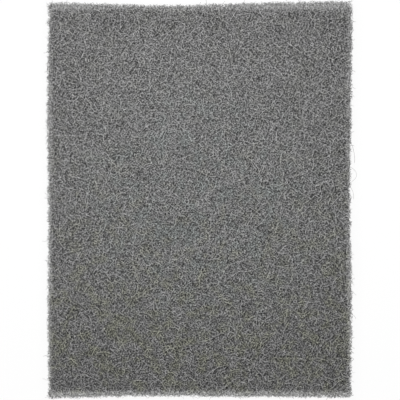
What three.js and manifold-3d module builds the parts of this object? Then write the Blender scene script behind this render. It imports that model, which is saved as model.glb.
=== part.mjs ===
// Abrasive hand pad: a rectangle cut from one lofty nonwoven web of stiff, resin-bonded fibres.
// The pad is a single piece that lies flat, and both of its faces are alike. Its surface is a net of
// crossing strands without any order, with a deep open pore in every mesh of the net. Here and there
// the rollers pressed a mesh flat. The four cut edges wander a little and are dragged round by the
// knife. Short cut strand ends stand out of them, and loose strands bow out of the right-hand one.
//
// Units are millimetres. +Z is up, +Y runs along the length, and the origin is the middle of the underside.

import * as THREE from 'three';
import { mergeVertices } from 'three/addons/utils/BufferGeometryUtils.js';
import Module from 'manifold-3d';

// Driving sizes

const padWidth = 117.4;
const padLength = 152;
const padThickness = 8;
const edgeRounding = 1.7; // the pad's edges and corners

const meshPitch = 4.5; // from one crossing of the net to the next
const layerPitch = 4; // the same, up the sides
const shake = 0.45; // how far a crossing or pore is out of line, as a share of the pitch
const thinnest = 0.3; // the thinnest facet, as a share of its area in an even net
const coreThickness = 2.1; // the least web between the pores of the two faces
const poreDepth = (padThickness - coreThickness) / 2; // the deepest pore
const shallowest = 0.6; // the shallowest pore, as a share of the deepest
const crossingSink = 1; // the lowest crossings lie this far below the rolled level
const rolledShare = 0.23; // this share of the crossings lies at the rolled level
const pressedShare = 0.07; // this share of the meshes is pressed flat
const sideRelief = 0.5; // the relief of the cut sides, as a share of that of the faces

const cutEndSpacing = 6.5; // along each edge
const cutEndWidth = 1;
const cutEndReach = 0.8; // how far the longest stands out
const cutEndRoot = 3.5; // how deep it is rooted

// Loose strands, by their share of the way up the right-hand edge and how far they bow out
const looseStrandWidth = 0.8;
const looseStrandRun = 8; // along the edge, from root to root
const looseStrands = [
  { share: 0.1, reach: 1 },
  { share: 0.2, reach: 2 },
  { share: 0.51, reach: 1.3 },
  { share: 0.56, reach: 2.3 },
  { share: 0.62, reach: 1.6 },
];

// The cut edges wander by sums of half-wave cosines, whose heights in millimetres are listed here.
// Front and back run from left to right and the sides from front to back. Positive is outwards.
const wander = {
  front: [0, 0.27, 0.15, 0.06],
  back: [-0.4, 0.56, 0.19, 0],
  left: [-0.09, -0.05, 0.1, -0.15],
  right: [-0.05, 0.24, -0.15, -0.12],
};

// Seeded numbers from 0 to 1, so that every build lays the same web
function seededRandom(seed) {
  let state = seed;
  return () => {
    state = (state + 0x6d2b79f5) | 0;
    let mixed = Math.imul(state ^ (state >>> 15), 1 | state);
    mixed = (mixed + Math.imul(mixed ^ (mixed >>> 7), 61 | mixed)) ^ mixed;
    return ((mixed ^ (mixed >>> 14)) >>> 0) / 4294967296;
  };
}

const random = seededRandom(20);
const between = (low, high) => low + (high - low) * random();

const half = new THREE.Vector3(padWidth, padLength, padThickness).divideScalar(2);
const core = half.clone().subScalar(edgeRounding);

// How far an edge stands outside its straight line, at a share of the way along it
const wanderAt = (heights, share) =>
  heights.reduce((sum, height, i) => sum + height * Math.cos(Math.PI * (i + 1) * share), 0);

// Moves a point of the straight-sided pad out or in with the edges that it is near
function withWander(point) {
  const across = THREE.MathUtils.clamp(point.x / half.x, -1, 1);
  const along = THREE.MathUtils.clamp(point.y / half.y, -1, 1);
  const sideways = wanderAt(across > 0 ? wander.right : wander.left, (along + 1) / 2);
  const lengthways = wanderAt(along > 0 ? wander.back : wander.front, (across + 1) / 2);
  point.x += sideways * Math.sign(across) * across ** 4;
  point.y += lengthways * Math.sign(along) * along ** 4;
  return point;
}

// The net, on the surface of a box. Each square of the box's grid is a mesh between four crossings,
// fanned round a pore at its middle.
function net() {
  const box = new THREE.BoxGeometry(
    padWidth,
    padLength,
    padThickness,
    Math.ceil(padWidth / meshPitch),
    Math.ceil(padLength / meshPitch),
    Math.ceil(padThickness / layerPitch),
  );
  box.deleteAttribute('normal');
  box.deleteAttribute('uv');
  const grid = mergeVertices(box, 1e-4);
  const crossings = grid.getAttribute('position');
  const places = Array.from({ length: crossings.count }, (_, i) =>
    new THREE.Vector3().fromBufferAttribute(crossings, i),
  );
  const depths = places.map(() => Math.max(0, between(rolledShare / (rolledShare - 1), 1)) * crossingSink);
  const corners = grid.index.array;
  const facets = [];
  const pressed = [];
  for (let i = 0; i < corners.length; i += 6) {
    const mesh = [corners[i], corners[i + 1], corners[i + 4], corners[i + 2]];
    const middle = mesh.reduce((sum, corner) => sum.add(places[corner]), new THREE.Vector3()).divideScalar(4);
    const pore = places.push(middle) - 1;
    depths.push(between(shallowest, 1) * poreDepth);
    mesh.forEach((corner, k) => facets.push([corner, mesh[(k + 1) % 4], pore]));
    if (random() < pressedShare) pressed.push(pore, ...mesh);
  }
  pressed.forEach((i) => {
    depths[i] = 0;
  });
  const points = shaken(places, facets).map((point, i) => sunk(point, depths[i]));
  return new THREE.BufferGeometry().setFromPoints(points).setIndex(facets.flat());
}

// The places shaken along the box's faces and edges. Where a facet grows thin or turns over, its
// points go halfway back to their places, until none does.
function shaken(places, facets) {
  const points = places.map((place) => {
    const point = place.clone();
    if (Math.abs(place.x) < half.x) point.x += between(-shake, shake) * meshPitch;
    if (Math.abs(place.y) < half.y) point.y += between(-shake, shake) * meshPitch;
    if (Math.abs(place.z) < half.z) point.z += between(-shake, shake) * layerPitch;
    return point;
  });
  const spread = ([a, b, c]) => b.clone().sub(a).cross(c.clone().sub(a));
  const isThin = (facet) => {
    const even = spread(facet.map((i) => places[i]));
    return spread(facet.map((i) => points[i])).dot(even) < thinnest * even.lengthSq();
  };
  for (let thin = facets.filter(isThin); thin.length > 0; thin = facets.filter(isThin)) {
    thin.flat().forEach((i) => points[i].lerp(places[i], 0.5));
  }
  return points;
}

// A point of the box's surface, rounded in with the box's edges and sunk below it
function sunk(point, depth) {
  const foot = point.clone().clamp(core.clone().negate(), core);
  const outwards = point.clone().sub(foot).normalize();
  const relief = THREE.MathUtils.lerp(sideRelief, 1, Math.abs(outwards.z));
  return withWander(foot.addScaledVector(outwards, edgeRounding - depth * relief));
}

// Short tapered strand ends that the knife left standing out of one edge
function cutEnds(along, out) {
  const run = Math.abs(along.dot(half));
  const toEdge = out.dot(half.clone().multiply(out));
  const count = Math.ceil((2 * run) / cutEndSpacing);
  return Array.from({ length: count }, (_, i) => {
    const distance = ((i + between(0.2, 0.8)) / count) * 2 * run - run;
    const reach = cutEndReach * between(0.5, 1);
    const lean = along.clone().multiplyScalar(between(-0.5, 0.5)).add(out).normalize();
    const lie = new THREE.Quaternion().setFromUnitVectors(new THREE.Vector3(0, 1, 0), lean);
    const foot = along.clone().multiplyScalar(distance).addScaledVector(out, toEdge);
    foot.z = between(-1, 1) * (half.z - edgeRounding - cutEndWidth);
    const place = withWander(foot);
    return new THREE.CylinderGeometry(cutEndWidth * 0.2, cutEndWidth / 2, reach + cutEndRoot, 4)
      .translate(0, (reach - cutEndRoot) / 2, 0)
      .applyQuaternion(lie)
      .translate(place.x, place.y, place.z);
  });
}

// A strand that leaves the right-hand edge, bows out and goes back in
function looseStrand({ share, reach }) {
  const middle = new THREE.Vector3(half.x, share * padLength - half.y, between(-0.4, 0.4) * half.z);
  const bow = reach - looseStrandWidth / 2;
  const offsets = [
    [-cutEndRoot, -looseStrandRun / 2],
    [bow, -looseStrandRun / 6],
    [bow, looseStrandRun / 6],
    [-cutEndRoot, looseStrandRun / 2],
  ];
  const path = new THREE.CatmullRomCurve3(
    offsets.map(([x, y]) => new THREE.Vector3(x, y, 0).add(middle)),
  );
  const section = new THREE.Shape().absarc(0, 0, looseStrandWidth / 2, 0, 2 * Math.PI);
  return new THREE.ExtrudeGeometry(section, { steps: 8, curveSegments: 2, extrudePath: path });
}

// Joining

const wasm = await Module();
wasm.setup();

function solidOf(geometry) {
  const bare = new THREE.BufferGeometry();
  bare.setAttribute('position', geometry.getAttribute('position'));
  if (geometry.index) bare.setIndex(geometry.index);
  const merged = mergeVertices(bare, 1e-4);
  return new wasm.Manifold(
    new wasm.Mesh({
      numProp: 3,
      vertProperties: merged.getAttribute('position').array,
      triVerts: new Uint32Array(merged.index.array),
    }),
  );
}

function geometryOf(solid) {
  const { vertProperties, triVerts } = solid.getMesh();
  const geometry = new THREE.BufferGeometry();
  geometry.setAttribute('position', new THREE.BufferAttribute(vertProperties, 3));
  geometry.setIndex(new THREE.BufferAttribute(triVerts, 1));
  return geometry;
}

function abrasivePad() {
  const back = new THREE.Vector3(0, 1, 0);
  const right = new THREE.Vector3(1, 0, 0);
  const bare = solidOf(net());
  const strands = [
    ...cutEnds(back, right),
    ...cutEnds(back, right.clone().negate()),
    ...cutEnds(right, back),
    ...cutEnds(right, back.clone().negate()),
    ...looseStrands.map(looseStrand),
  ];
  const web = strands.reduce((sum, strand) => sum.add(solidOf(strand)), bare);
  const geometry = geometryOf(web).toNonIndexed();
  geometry.computeVertexNormals();
  geometry.computeBoundingBox();
  const middle = geometry.boundingBox.getCenter(new THREE.Vector3());
  return geometry.translate(-middle.x, -middle.y, half.z);
}

const greyWeb = new THREE.MeshStandardMaterial({ color: 0x747472, roughness: 0.85, metalness: 0 });

const pad = new THREE.Mesh(abrasivePad(), greyWeb);
pad.name = 'abrasive_pad';

const part = new THREE.Group();
part.add(pad);

export default part;
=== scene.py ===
import math

import bmesh
import bpy
import numpy as np
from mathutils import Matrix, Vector, noise


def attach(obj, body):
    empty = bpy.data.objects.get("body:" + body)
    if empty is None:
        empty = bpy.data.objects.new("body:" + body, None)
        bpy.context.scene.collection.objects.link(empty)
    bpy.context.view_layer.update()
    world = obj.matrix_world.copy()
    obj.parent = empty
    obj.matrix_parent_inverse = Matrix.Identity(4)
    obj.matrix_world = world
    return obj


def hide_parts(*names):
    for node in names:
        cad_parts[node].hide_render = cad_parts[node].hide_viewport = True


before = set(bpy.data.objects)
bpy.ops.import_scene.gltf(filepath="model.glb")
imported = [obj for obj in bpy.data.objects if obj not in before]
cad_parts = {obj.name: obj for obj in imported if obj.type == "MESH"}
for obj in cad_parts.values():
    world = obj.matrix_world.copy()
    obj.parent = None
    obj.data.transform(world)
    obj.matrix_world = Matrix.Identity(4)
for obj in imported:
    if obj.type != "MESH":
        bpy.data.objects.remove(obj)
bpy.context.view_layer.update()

MM = 0.001

# The pad, as in the frame. Its middle lies off the frame's origin, because the solid's box is also
# round the cut ends and loose strands that stand out of its edges.
PAD_WIDTH = 117.4 * MM
PAD_LENGTH = 152 * MM
PAD_THICKNESS = 8 * MM
PAD_MIDDLE = (-0.85 * MM, -0.17 * MM)
EDGE_ROUNDING = 1.7 * MM

# How the cut edges wander: heights of half-wave cosines along each edge, outwards positive, front and
# back from left to right and the sides from front to back
EDGE_WANDER = {
    "front": [0, 0.27 * MM, 0.15 * MM, 0.06 * MM],
    "back": [-0.4 * MM, 0.56 * MM, 0.19 * MM, 0],
    "left": [-0.09 * MM, -0.05 * MM, 0.1 * MM, -0.15 * MM],
    "right": [-0.05 * MM, 0.24 * MM, -0.15 * MM, -0.12 * MM],
}

# The curly fibres of the two faces
FIBRE_RADIUS = 0.08 * MM
FIBRE_THICKNESSES = (0.75, 1.3)  # the thinnest and the thickest, as shares of that radius
FIBRE_END = 0.6  # how thick a fibre's ends are, as a share of the rest
CAP_SEAM = 1e-5 * MM  # corners of a cap and its tube lie nearer together than this
FIBRE_STEP = 0.5 * MM  # from one point of a fibre's path to the next
FIBRE_POINTS = 19  # of a path before the knife cuts it
KEPT_POINTS = (8, 16)  # how many of them the shortest and the longest fibre keep
FIBRE_CURLS = (80, 300, 600)  # radians of turn to the metre
FIBRE_CURL_SHARES = (0.35, 0.35, 0.3)  # the share of the fibres that has each curl
CURL_DRIFT = 0.2  # how much a fibre's curl changes in a step, as a share of it
FIBRE_RISES = (0.05 * MM, 0.4 * MM)  # how far a fibre rises and falls
FIBRE_WAVES = (2.6 * MM, 5 * MM)  # from one rise to the next
FACE_LAYER = 1.6 * MM  # how deep the fibres of a face are modelled
UPPER_FIBRES = 6800
LOWER_FIBRES = 4000
KNIFE_MARGIN = (-0.2 * MM, 0.7 * MM)  # how far within a cut edge a fibre may end
FEWEST_POINTS = 3  # what is left of a fibre with fewer drops out
STEEPEST_ROUNDING = 0.35  # fibres follow the rounded edge to this share of it, and then go level

# The fringe of each cut edge: how far its longest fibres stand out, and how many there are to the metre
FRINGE_REACH = {"front": 0.6 * MM, "back": 0.9 * MM, "left": 0.65 * MM, "right": 0.5 * MM}
FRINGE_DENSITY = {"front": 24000, "back": 24000, "left": 20000, "right": 20000}
FRINGE_ROOT = 0.5 * MM  # how far in the shortest of them end
FRINGE_LENGTH = 1.9 * MM
FRINGE_POINTS = 3
FRINGE_FALL = 1.5  # the power by which the fringe thins outwards
FRINGE_LEAN = 0.5  # how far the fibres stand askew, in radians
FRINGE_BEND = 0.6  # how far they bend, in radians
FRINGE_THICKNESSES = (0.8, 1.4)
BARE_CORNER = 0.003  # the share of an edge at each end of it that has no fringe
TUFT_PITCH = 0.9 * MM  # the fibres of a fringe end in tufts, from one to the next
TUFT_REACH = 0.25 * MM  # how much further out or in a tuft may end

# Loose fibres at the right-hand edge: where one leaves it and where it ends, from the pad's middle, how
# far it bows out, and the share of the bow that it runs through
LOOSE_FIBRES = [
    (24 * MM, 14.5 * MM, 1.5 * MM, 0.6),
    (13.5 * MM, 6.5 * MM, 2.3 * MM, 1.0),
    (6 * MM, 0.5 * MM, 1.1 * MM, 0.6),
    (-43.5 * MM, -46 * MM, 1.9 * MM, 0.5),
    (-46.4 * MM, -47 * MM, 0.9 * MM, 0.5),
    (-60.9 * MM, -61.6 * MM, 1.2 * MM, 0.5),
    (70.2 * MM, 69.3 * MM, 1.2 * MM, 0.5),
    (61.8 * MM, 62.8 * MM, 1.5 * MM, 0.5),
    (50.9 * MM, 49.8 * MM, 1.7 * MM, 0.5),
    (51.8 * MM, 51.2 * MM, 0.9 * MM, 0.5),
]
LOOSE_POINTS = 12
LOOSE_LEVELS = (0.35, 0.7)  # the lowest and the highest, as shares of the pad's thickness
LOOSE_THICKNESSES = (0.6, 0.8)

# The dense middle of the web, whose own strands show between the fibres
CORE_INSET = 0.65 * MM  # how far it lies within the cut sides
CORE_SINK = 1.0 * MM  # and below the faces
CORE_CELL = 1.2 * MM
CORE_RELIEF = 0.35 * MM
CORE_PIT = 1.5 * MM  # about the size of its pits
CORE_SIDE_RELIEF = 0.4  # the relief of its sides, as a share of that of its faces

# The web's finish: grey resin with abrasive grain on it, in patches that lean to olive or to teal.
# Painted shade darkens it inwards from the faces, and painted light makes it lighter at the cut edges.
NEUTRAL = (1.0, 0.994, 1.0)
OLIVE = (0.995, 1.01, 0.82)
TEAL = (0.94, 1.0, 0.985)
FIBRE_LEVEL = 0.485
CORE_LEVEL = 0.427
OLIVE_PATCH = 4.5 * MM
OLIVE_RANGE = (0.42, 0.7)  # of the noise, from no olive to full olive
OLIVE_RUN = (-0.4 * PAD_LENGTH, 0.25 * PAD_LENGTH)  # full olive in front of this, little behind it
OLIVE_BEHIND = 0.2
TEAL_PATCH = 6 * MM
TEAL_SHIFT = (0.3, 0.1, 0)  # of the noise
TEAL_RANGE = (0.46, 0.66)
TEAL_RUN = (20 * MM, 65 * MM)  # full teal nearer the middle than this, none further out
# Painted light at the cut edges: a lighter grey, lightest at the front, with less painted shade
EDGE_LIGHT_LEVEL = 0.6
FRONT_EDGE_LIGHT_LEVEL = 0.9
SIDE_EDGE_LIGHT = (0, 2.2 * MM)  # how far in from the left and right edges the painted light reaches
SIDE_EDGE_LIGHT_SHARE = 0.6  # how much so, against the front and back
END_EDGE_LIGHT = (-0.2 * MM, 3.2 * MM)  # how far in from the front and back edges
EDGE_LIGHT_COVER = 0.9  # how far the painted light's grey covers a cut edge
EDGE_LIGHT_FILL = 0.35  # how far the painted shade between the strands is left out there
WEB_ROUGHNESS = 0.65
WEB_SHINE = 0.35
BUMP_HEIGHT = 0.1 * MM

# Painted shade in the openings between the strands: from one to the next, how far from its middle one is
# fully dark and where it ends, as shares of the pitch, and how dark the faintest is
PORE_SHADE = {"pitch": 1.05 * MM, "middle": 0.26, "rim": 0.46, "faintest": 0.0}
PINHOLE_SHADE = {"pitch": 0.76 * MM, "middle": 0.22, "rim": 0.52, "faintest": 0.65}
OPENING_SHAKE = 0.8  # how far they are out of line
OPENING_TURN = 0.6  # how far their rows lie askew to the pad's edges, in radians

# How much of the web's tone the painted shade in the openings leaves, and how far painted shade dims the
# fibres with depth
FIBRE_IN_PORE_SHADE = 0.1
FIBRE_IN_PINHOLE_SHADE = 0.2
TOPMOST = (0.1 * MM, 0.45 * MM)  # fibres nearer the face than this lie over the openings and get less of their painted shade
TOPMOST_SHARE = 0.75  # how much less
# Painted shade that darkens the fibres with depth below the face
FIBRE_DEPTH_SHADE = 0.75
FIBRE_BUMP = {"size": 0.3 * MM, "strength": 0.5}
# What the painted shade in the pores leaves of the core's tone
CORE_IN_PORE_SHADE = 0.03
# What the painted shade between the strands leaves of the core's tone
CORE_SHADE_BETWEEN_STRANDS = 0.25
CORE_BUMP = 0.6
GRAIN_SIZE = 0.42 * MM
GRAIN_RANGE = (0.36, 0.6)
BETWEEN_GRAINS = 0.5

# The strands that show on the core, painted in its colour: how large their curls are, how far the noise
# is shifted, and how light they show, the deeper layers less so as painted shade
CORE_STRANDS = [
    {"size": 0.9 * MM, "shift": 0.0, "share": 1.0},
    {"size": 0.75 * MM, "shift": 0.11, "share": 0.85},
    {"size": 1.2 * MM, "shift": 0.23, "share": 0.6},
    {"size": 0.65 * MM, "shift": 0.37, "share": 0.7},
]
STRAND_EDGE = (0.005, 0.035)  # how far the noise is from its middle where a strand ends

# The photograph's view and light
PIXEL = 0.3878 * MM  # at the pad's upper face
FRAME_PIXELS = 400
PAD_MIDDLE_PIXEL = (199.73, 200.50)
CAMERA_HEIGHT = 2.0
CAMERA_FILM = 36  # the camera's own millimetres
FLOOR_HALF = 3
FLOOR_GREY = 0.85
FLOOR_GLOW = 0.94  # how white the floor is where the camera sees it
SKY_STRENGTH = 0.44
LAMP_SIZE = (0.16, 0.12)
LAMP_PLACE = Vector((-0.01, 0.04, 0.2))
LAMP_AIM = Vector((-0.01, 0.035, 0))
LAMP_POWER = 0.5


class Value:
    """A number socket, on which arithmetic adds Math nodes."""

    def __init__(self, nodes, socket):
        self.nodes, self.socket = nodes, socket

    def _math(self, operation, *values):
        return self.nodes.add("ShaderNodeMath", {"operation": operation}, dict(enumerate(values)))

    def __add__(self, other):
        return self._math("ADD", self, other)

    def __radd__(self, other):
        return self._math("ADD", other, self)

    def __sub__(self, other):
        return self._math("SUBTRACT", self, other)

    def __rsub__(self, other):
        return self._math("SUBTRACT", other, self)

    def __mul__(self, other):
        return self._math("MULTIPLY", self, other)

    def __rmul__(self, other):
        return self._math("MULTIPLY", other, self)

    def greatest(self, other):
        return self._math("MAXIMUM", self, other)

    def magnitude(self):
        return self._math("ABSOLUTE", self)


class Nodes:
    """A material's node tree."""

    def __init__(self, name):
        self.material = bpy.data.materials.new(name)
        self.material.use_nodes = True
        self.tree = self.material.node_tree
        self.tree.nodes.clear()

    def add(self, kind, settings=None, inputs=None, output=0):
        """Adds a node, its settings first and then its sockets, and returns one of its outputs."""
        node = self.tree.nodes.new(kind)
        for name, value in (settings or {}).items():
            setattr(node, name, value)
        for name, value in (inputs or {}).items():
            value = value.socket if isinstance(value, Value) else value
            if isinstance(value, bpy.types.NodeSocket):
                self.tree.links.new(value, node.inputs[name])
            else:
                node.inputs[name].default_value = value
        return Value(self, node.outputs[output]) if node.outputs else node

    def place(self):
        """Where a point lies, in the object's own coordinates."""
        return self.add("ShaderNodeTexCoord", output=3)

    def along(self, vector, axis):
        return self.add("ShaderNodeSeparateXYZ", {}, {"Vector": vector}, output=axis)

    def noise(self, size, detail, shift=(0, 0, 0)):
        """Noise whose blobs are about that size across, in metres."""
        moved = self.add("ShaderNodeMapping", {}, {"Vector": self.place(), "Location": shift})
        inputs = {"Vector": moved, "Scale": 1 / size, "Detail": detail, "Roughness": 0.5}
        return self.add("ShaderNodeTexNoise", {}, inputs)

    def step(self, value, low, high):
        """0 below low, 1 above high, and even between."""
        smooth = {"interpolation_type": "SMOOTHSTEP"}
        return self.add("ShaderNodeMapRange", smooth, {"Value": value, "From Min": low, "From Max": high})

    def mix(self, share, first, second):
        return self.add("ShaderNodeMix", {"data_type": "RGBA"}, {0: share, 6: first, 7: second}, output=2)


def grey(level, tint=(1, 1, 1)):
    return (level * tint[0], level * tint[1], level * tint[2], 1)


def lifted(mask, least):
    """A mask from 0 to 1, made to run from least to 1."""
    return mask * (1 - least) + least


def depth_in_pad(nodes, axis):
    """How far in from the nearer of the pad's two surfaces across an axis."""
    middle = (*PAD_MIDDLE, PAD_THICKNESS / 2)
    off = nodes.add("ShaderNodeVectorMath", {"operation": "SUBTRACT"}, {0: nodes.place(), 1: middle})
    return (PAD_WIDTH, PAD_LENGTH, PAD_THICKNESS)[axis] / 2 - nodes.along(off, axis).magnitude()


def tinted_grey(nodes, level):
    """Grey of a level, with olive patches that grow towards the front and teal ones in the middle."""
    place = nodes.place()
    in_front = 1.0 - nodes.step(nodes.along(place, 1), *OLIVE_RUN)
    olive = nodes.step(nodes.noise(OLIVE_PATCH, 3), *OLIVE_RANGE) * lifted(in_front, OLIVE_BEHIND)
    from_middle = nodes.add("ShaderNodeVectorMath", {"operation": "LENGTH"}, {0: place}, output=1)
    teal = nodes.step(nodes.noise(TEAL_PATCH, 2, TEAL_SHIFT), *TEAL_RANGE)
    teal = teal * (1.0 - nodes.step(from_middle, *TEAL_RUN))
    with_olive = nodes.mix(olive, grey(level, NEUTRAL), grey(level, OLIVE))
    return nodes.mix(teal, with_olive, grey(level, TEAL))


def web_colour(nodes, level, tone):
    """The tinted grey with painted light at the cut edges, dimmed by a tone that holds painted shade and,
    on the core, its grain.
    """
    # Painted light: the web is lighter in from the cut edges, most at the front edge
    side_light = (1.0 - nodes.step(depth_in_pad(nodes, 0), *SIDE_EDGE_LIGHT)) * SIDE_EDGE_LIGHT_SHARE
    end_light = 1.0 - nodes.step(depth_in_pad(nodes, 1), *END_EDGE_LIGHT)
    edge_light = side_light.greatest(end_light)
    behind = nodes.step(nodes.along(nodes.place(), 1), -MM, MM)
    edge_light_grey = nodes.mix(behind, grey(FRONT_EDGE_LIGHT_LEVEL), grey(EDGE_LIGHT_LEVEL))
    lit = nodes.mix(edge_light * EDGE_LIGHT_COVER, tinted_grey(nodes, level), edge_light_grey)
    # Painted shade: the tone mixes the grey towards black, less so at the cut edges
    return nodes.mix(lifted(tone, edge_light * EDGE_LIGHT_FILL), grey(0), lit)


def finish(nodes, colour, height, strength):
    bump = nodes.add(
        "ShaderNodeBump", {}, {"Height": height, "Strength": strength, "Distance": BUMP_HEIGHT}
    )
    inputs = {"Base Color": colour, "Normal": bump}
    inputs.update({"Roughness": WEB_ROUGHNESS, "Specular IOR Level": WEB_SHINE})
    surface = nodes.add("ShaderNodeBsdfPrincipled", {}, inputs)
    nodes.add("ShaderNodeOutputMaterial", {}, {"Surface": surface})
    return nodes.material


def opening_shade(nodes, pitch, middle, rim, faintest):
    """0 in the openings between the strands, where dark shade is painted, most of it faint, and 1
    elsewhere. They go straight down from the faces, and lie in all directions in the cut sides."""
    turned = nodes.add(
        "ShaderNodeMapping", {}, {"Vector": nodes.place(), "Rotation": (0, 0, OPENING_TURN)}
    )
    inputs = {"Vector": turned, "Scale": 1 / pitch, "Randomness": OPENING_SHAKE}
    flat = {"voronoi_dimensions": "2D"}
    in_face = nodes.add("ShaderNodeTexVoronoi", flat, inputs)
    in_side = nodes.add("ShaderNodeTexVoronoi", {}, inputs)
    side = nodes.step(depth_in_pad(nodes, 2), FACE_LAYER, FACE_LAYER + MM)
    from_middle = in_face * (1.0 - side) + in_side * side
    colour = nodes.add("ShaderNodeTexVoronoi", flat, inputs, output=1)
    chance = nodes.add("ShaderNodeSeparateColor", {}, {"Color": colour})
    # How dark each opening's painted shade is
    shade_strength = lifted(chance * chance, faintest)
    return 1.0 - (1.0 - nodes.step(from_middle, middle, rim)) * shade_strength


def strands(nodes, size, shift, share):
    """Curly light lines, where a noise passes through its middle."""
    off_middle = (nodes.noise(size, 1, (shift, 0, 0)) - 0.5).magnitude()
    return (1.0 - nodes.step(off_middle, *STRAND_EDGE)) * share


def fibre_finish():
    """Fibres with painted shade that deepens with depth and lies in the openings, which the topmost ones
    mostly escape.
    """
    nodes = Nodes("fibre_grey")
    depth = depth_in_pad(nodes, 2)
    # Painted shade in the openings, which the topmost fibres mostly escape
    pore_shade = lifted(opening_shade(nodes, **PORE_SHADE), FIBRE_IN_PORE_SHADE)
    pinhole_shade = lifted(opening_shade(nodes, **PINHOLE_SHADE), FIBRE_IN_PINHOLE_SHADE)
    topmost = (1.0 - nodes.step(depth, *TOPMOST)) * TOPMOST_SHARE
    # Painted shade, deeper with depth below the face
    depth_shade = nodes.step(depth, 0.0, FACE_LAYER) * FIBRE_DEPTH_SHADE
    tone = lifted(pore_shade * pinhole_shade, topmost) * (1.0 - depth_shade)
    height = nodes.noise(FIBRE_BUMP["size"], 1)
    return finish(nodes, web_colour(nodes, FIBRE_LEVEL, tone), height, FIBRE_BUMP["strength"])


def core_finish():
    """The middle, dark with painted shade, on which its own nearest strands show lighter."""
    nodes = Nodes("core_grey")
    layers = [strands(nodes, **layer) for layer in CORE_STRANDS]
    net = layers[0]
    for layer in layers[1:]:
        net = net.greatest(layer)
    # Painted shade in the pores
    pore_shade = lifted(opening_shade(nodes, **PORE_SHADE), CORE_IN_PORE_SHADE)
    grain = lifted(nodes.step(nodes.noise(GRAIN_SIZE, 1), *GRAIN_RANGE), BETWEEN_GRAINS)
    # Painted shade between the strands, in the pores and in the pinholes, times the web's own grain
    tone = lifted(net, CORE_SHADE_BETWEEN_STRANDS) * pore_shade * opening_shade(nodes, **PINHOLE_SHADE) * grain
    return finish(nodes, web_colour(nodes, CORE_LEVEL, tone), net, CORE_BUMP)


def wander_at(edge, share):
    return sum(h * np.cos(math.pi * (i + 1) * share) for i, h in enumerate(EDGE_WANDER[edge]))


def depth_from_edges(x, y):
    """How far places of the pad, counted from its middle, lie within each of its cut edges."""
    across = np.clip(x / PAD_WIDTH + 0.5, 0, 1)
    along = np.clip(y / PAD_LENGTH + 0.5, 0, 1)
    return {
        "front": PAD_LENGTH / 2 + wander_at("front", across) + y,
        "back": PAD_LENGTH / 2 + wander_at("back", across) - y,
        "left": PAD_WIDTH / 2 + wander_at("left", along) + x,
        "right": PAD_WIDTH / 2 + wander_at("right", along) - x,
    }


def piece(name, mesh, material):
    """Puts a mesh in the scene as a piece of the pad."""
    obj = bpy.data.objects.new(name, mesh)
    bpy.context.collection.objects.link(obj)
    mesh.materials.clear()
    mesh.materials.append(material)
    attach(obj, "root")
    return obj


def curly_paths(rng, x, y, z, curl, rise):
    """Fibre paths through the given places: they curl in plan, and rise and fall."""
    shape = (len(x), FIBRE_POINTS)
    bend = rng.normal(0, curl, (len(x), 1))
    bend = bend + np.cumsum(rng.normal(0, curl * CURL_DRIFT, shape), axis=1)
    heading = rng.uniform(0, 2 * math.pi, (len(x), 1)) + np.cumsum(bend * FIBRE_STEP, axis=1)
    plan_x = np.cumsum(np.cos(heading), axis=1) * FIBRE_STEP
    plan_y = np.cumsum(np.sin(heading), axis=1) * FIBRE_STEP
    middle = FIBRE_POINTS // 2
    plan_x += x[:, None] - plan_x[:, middle : middle + 1]
    plan_y += y[:, None] - plan_y[:, middle : middle + 1]
    phase = rng.uniform(0, 2 * math.pi, (len(x), 1))
    wave = rng.uniform(*FIBRE_WAVES, (len(x), 1))
    run = np.arange(FIBRE_POINTS) * FIBRE_STEP
    level = z[:, None] + rise * np.sin(2 * math.pi * run / wave + phase)
    return np.stack([plan_x, plan_y, level], axis=2)


def cut_at_edges(rng, paths):
    """The stretch of each path round its middle that the knife left, as a list."""
    within = np.ones(paths.shape[:2], bool)
    for depth in depth_from_edges(paths[:, :, 0], paths[:, :, 1]).values():
        within &= depth > rng.uniform(*KNIFE_MARGIN, (len(paths), 1))
    shortest, longest = KEPT_POINTS
    middle = FIBRE_POINTS // 2
    kept = []
    for path, good, size in zip(paths, within, rng.integers(shortest, longest + 1, len(paths))):
        outside = np.flatnonzero(~good)
        before = outside[outside <= middle]
        after = outside[outside >= middle]
        first = max(middle - size // 2, before.max(initial=-1) + 1)
        last = min(middle + (size + 1) // 2, after.min(initial=FIBRE_POINTS))
        if last - first >= FEWEST_POINTS:
            kept.append(path[first:last])
    return kept


def level_with_faces(path):
    """Keeps a path between the two faces, which round off towards the cut edges."""
    inwards = np.min(list(depth_from_edges(path[:, 0], path[:, 1]).values()), axis=0)
    inwards = np.clip(inwards, STEEPEST_ROUNDING * EDGE_ROUNDING, EDGE_ROUNDING)
    drop = EDGE_ROUNDING - np.sqrt(EDGE_ROUNDING**2 - (EDGE_ROUNDING - inwards) ** 2)
    low = drop + FIBRE_RADIUS * FIBRE_THICKNESSES[1]
    return np.clip(path[:, 2], low, PAD_THICKNESS - low)


def three_sided_section():
    section = bpy.data.curves.new("section", "CURVE")
    section.dimensions = "2D"
    ring = section.splines.new("POLY")
    ring.points.add(2)
    for i, point in enumerate(ring.points):
        turn = 2 * math.pi * i / 3
        point.co = (FIBRE_RADIUS * math.cos(turn), FIBRE_RADIUS * math.sin(turn), 0, 1)
    ring.use_cyclic_u = True
    obj = bpy.data.objects.new("section", section)
    bpy.context.collection.objects.link(obj)
    return obj


def add_fibre(curve, path, thickness):
    """Adds a path, counted from the pad's middle, to a curve."""
    spline = curve.splines.new("POLY")
    spline.points.add(len(path) - 1)
    placed = np.ones((len(path), 4))
    placed[:, :2] = path[:, :2] + PAD_MIDDLE
    placed[:, 2] = level_with_faces(path)
    spline.points.foreach_set("co", placed.ravel())
    thicknesses = np.full(len(path), thickness)
    thicknesses[[0, -1]] *= FIBRE_END
    spline.points.foreach_set("radius", thicknesses)
    spline.use_smooth = True


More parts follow.
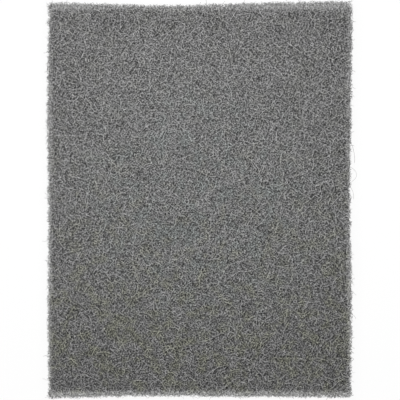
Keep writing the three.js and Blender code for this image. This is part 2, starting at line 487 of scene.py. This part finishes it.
def close_fibres(mesh):
    """Joins the caps to the ends of their tubes and turns all faces outwards. The caps, which alone
    have three corners, stay flat."""
    bm = bmesh.new()
    bm.from_mesh(mesh)
    bmesh.ops.remove_doubles(bm, verts=bm.verts, dist=CAP_SEAM)
    bmesh.ops.recalc_face_normals(bm, faces=bm.faces)
    for face in bm.faces:
        face.smooth = len(face.verts) > 3
    bm.to_mesh(mesh)
    bm.free()


def fibre_mesh(rng, name, paths, thicknesses):
    """Closed three-sided tubes along the paths, made by a curve with a bevel."""
    section = three_sided_section()
    curve = bpy.data.curves.new(name, "CURVE")
    curve.dimensions = "3D"
    curve.bevel_mode = "OBJECT"
    curve.bevel_object = section
    curve.use_fill_caps = True
    for path in paths:
        add_fibre(curve, path, rng.uniform(*thicknesses))
    curve_object = bpy.data.objects.new(name + "_curve", curve)
    bpy.context.collection.objects.link(curve_object)
    depsgraph = bpy.context.evaluated_depsgraph_get()
    mesh = bpy.data.meshes.new_from_object(curve_object.evaluated_get(depsgraph))
    mesh.name = name
    close_fibres(mesh)
    bpy.data.objects.remove(curve_object)
    bpy.data.objects.remove(section)
    return mesh


def spread(rng, count):
    """Places spread evenly over the pad, each shaken in its own square."""
    columns = round(math.sqrt(count * PAD_WIDTH / PAD_LENGTH))
    rows = round(count / columns)
    x, y = np.meshgrid(np.arange(columns), np.arange(rows))
    x = (x.ravel() + rng.uniform(0, 1, x.size)) / columns - 0.5
    y = (y.ravel() + rng.uniform(0, 1, y.size)) / rows - 0.5
    return x * PAD_WIDTH, y * PAD_LENGTH


def face_fibres(rng, count, upper):
    """The fibres of one face."""
    x, y = spread(rng, count)
    depth = rng.uniform(0, 1, x.size) * FACE_LAYER
    z = PAD_THICKNESS - depth if upper else depth
    curl = rng.choice(FIBRE_CURLS, (x.size, 1), p=FIBRE_CURL_SHARES)
    rise = rng.uniform(*FIBRE_RISES, (x.size, 1))
    return cut_at_edges(rng, curly_paths(rng, x, y, z, curl, rise))


def fringe_fibres(rng, edge):
    """Cut ends that stand out of one edge, each as a path from its tip inwards."""
    along_x = edge in ("front", "back")
    run, edge_at = (PAD_WIDTH, PAD_LENGTH / 2) if along_x else (PAD_LENGTH, PAD_WIDTH / 2)
    sign = 1 if edge in ("back", "right") else -1
    count = round(FRINGE_DENSITY[edge] * run)
    share = rng.uniform(BARE_CORNER, 1 - BARE_CORNER, count)
    reach = rng.uniform(0, 1, count) ** FRINGE_FALL * (FRINGE_REACH[edge] + FRINGE_ROOT) - FRINGE_ROOT
    tufts = rng.uniform(-TUFT_REACH, TUFT_REACH, round(run / TUFT_PITCH))
    reach += np.interp(share, np.linspace(0, 1, tufts.size), tufts)
    tip = edge_at + wander_at(edge, share) + reach
    through = np.linspace(0, 1, FRINGE_POINTS)
    lean = rng.normal(0, FRINGE_LEAN, (count, 1)) + through * rng.normal(0, FRINGE_BEND, (count, 1))
    inwards = tip[:, None] - through * FRINGE_LENGTH * np.cos(lean)
    aside = (share[:, None] - 0.5) * run + through * FRINGE_LENGTH * np.sin(lean)
    off_middle = rng.choice([-0.5, 0.5], (count, 1)) * np.sqrt(rng.uniform(0, 1, (count, 1)))
    level = (0.5 + off_middle) * PAD_THICKNESS + 0 * through
    plan = [aside, sign * inwards] if along_x else [sign * inwards, aside]
    return list(np.stack([*plan, level], axis=2))


def loose_paths(rng):
    """Loose fibres, which leave the right-hand edge and bow out of it."""
    paths = []
    through = np.linspace(0, 1, LOOSE_POINTS)
    for start, end, reach, share in LOOSE_FIBRES:
        bow = (reach + FRINGE_ROOT) * np.sin(math.pi * share * through) - FRINGE_ROOT
        level = np.full(LOOSE_POINTS, rng.uniform(*LOOSE_LEVELS) * PAD_THICKNESS)
        paths.append(np.stack([PAD_WIDTH / 2 + bow, start + (end - start) * through, level], axis=1))
    return paths


def wander_near(across, along):
    """How far a place moves with the edges that it is near, from its shares of the way to them."""
    sideways = wander_at("right" if across > 0 else "left", (along + 1) / 2)
    lengthways = wander_at("back" if along > 0 else "front", (across + 1) / 2)
    return Vector((sideways * across**3 * abs(across), lengthways * along**3 * abs(along), 0))


def core_mesh():
    """The dense middle of the web: a slab with rounded edges and a pitted surface."""
    half = Vector((PAD_WIDTH, PAD_LENGTH, PAD_THICKNESS)) / 2
    inner = half - Vector((EDGE_ROUNDING,) * 3)
    bm = bmesh.new()
    bmesh.ops.create_cube(bm, size=2)
    bmesh.ops.scale(bm, vec=half, verts=bm.verts)
    for axis in range(3):
        along = [e for e in bm.edges if abs((e.verts[0].co - e.verts[1].co)[axis]) > half[axis]]
        cuts = round(2 * half[axis] / CORE_CELL) - 1
        bmesh.ops.subdivide_edges(bm, edges=along, cuts=cuts, use_grid_fill=True)
    for vert in bm.verts:
        foot = Vector([max(-i, min(i, c)) for i, c in zip(inner, vert.co)])
        out = (vert.co - foot).normalized()
        flatness = abs(out.z)
        sink = CORE_INSET + (CORE_SINK - CORE_INSET) * flatness
        pit = noise.noise(vert.co / CORE_PIT) * CORE_RELIEF * lifted(flatness, CORE_SIDE_RELIEF)
        bend = wander_near(vert.co.x / half.x, vert.co.y / half.y)
        vert.co = foot + out * (EDGE_ROUNDING - sink + pit) + bend
    bmesh.ops.translate(bm, vec=(*PAD_MIDDLE, PAD_THICKNESS / 2), verts=bm.verts)
    bmesh.ops.recalc_face_normals(bm, faces=bm.faces)
    mesh = bpy.data.meshes.new("web_core")
    bm.to_mesh(mesh)
    bm.free()
    for polygon in mesh.polygons:
        polygon.use_smooth = True
    return mesh


def dress_pad():
    rng = np.random.default_rng(7)
    fibre = fibre_finish()
    core = piece("web_core", core_mesh(), core_finish())
    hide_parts("abrasive_pad")
    upper = face_fibres(rng, UPPER_FIBRES, True)
    lower = face_fibres(rng, LOWER_FIBRES, False)
    for name, paths, shares in (("upper_fibres", upper, 3), ("lower_fibres", lower, 2)):
        for share in range(shares):
            label = f"{name}_{share + 1}"
            piece(label, fibre_mesh(rng, label, paths[share::shares], FIBRE_THICKNESSES), fibre)
    fringe = [path for edge in EDGE_WANDER for path in fringe_fibres(rng, edge)]
    piece("fringe_fibres", fibre_mesh(rng, "fringe_fibres", fringe, FRINGE_THICKNESSES), fibre)
    loose = loose_paths(rng)
    piece("loose_fibres", fibre_mesh(rng, "loose_fibres", loose, LOOSE_THICKNESSES), fibre)


def set_camera():
    camera = bpy.data.cameras.new("camera")
    camera.sensor_width = CAMERA_FILM
    camera.lens = CAMERA_FILM * CAMERA_HEIGHT / (FRAME_PIXELS * PIXEL)
    camera.clip_end = 10 * CAMERA_HEIGHT
    obj = bpy.data.objects.new("camera", camera)
    aside = (FRAME_PIXELS / 2 - PAD_MIDDLE_PIXEL[0]) * PIXEL
    up = (PAD_MIDDLE_PIXEL[1] - FRAME_PIXELS / 2) * PIXEL
    obj.location = (PAD_MIDDLE[0] + aside, PAD_MIDDLE[1] + up, PAD_THICKNESS + CAMERA_HEIGHT)
    bpy.context.collection.objects.link(obj)
    bpy.context.scene.camera = obj


def set_floor():
    bm = bmesh.new()
    bmesh.ops.create_grid(bm, x_segments=1, y_segments=1, size=FLOOR_HALF)
    mesh = bpy.data.meshes.new("floor")
    bm.to_mesh(mesh)
    bm.free()
    floor = bpy.data.objects.new("floor", mesh)
    bpy.context.collection.objects.link(floor)
    nodes = Nodes("white_floor")
    lit = nodes.add("ShaderNodeBsdfDiffuse", {}, {"Color": grey(FLOOR_GREY)})
    glow = nodes.add("ShaderNodeEmission", {}, {"Color": grey(1), "Strength": 1.0})
    seen = nodes.add("ShaderNodeLightPath")
    surface = nodes.add("ShaderNodeMixShader", {}, {0: seen * FLOOR_GLOW, 1: lit, 2: glow})
    nodes.add("ShaderNodeOutputMaterial", {}, {"Surface": surface})
    mesh.materials.append(nodes.material)


def set_lights():
    world = bpy.data.worlds.new("studio")
    bpy.context.scene.world = world
    world.use_nodes = True
    sky = world.node_tree.nodes["Background"].inputs
    sky["Color"].default_value = grey(1)
    sky["Strength"].default_value = SKY_STRENGTH
    lamp = bpy.data.lights.new("soft_box", "AREA")
    lamp.shape = "RECTANGLE"
    lamp.size, lamp.size_y = LAMP_SIZE
    lamp.energy = LAMP_POWER
    obj = bpy.data.objects.new("soft_box", lamp)
    obj.location = LAMP_PLACE
    obj.rotation_euler = (LAMP_AIM - LAMP_PLACE).to_track_quat("-Z", "Y").to_euler()
    bpy.context.collection.objects.link(obj)


dress_pad()
set_floor()
set_lights()
set_camera()
bpy.context.scene.view_settings.view_transform = "Standard"
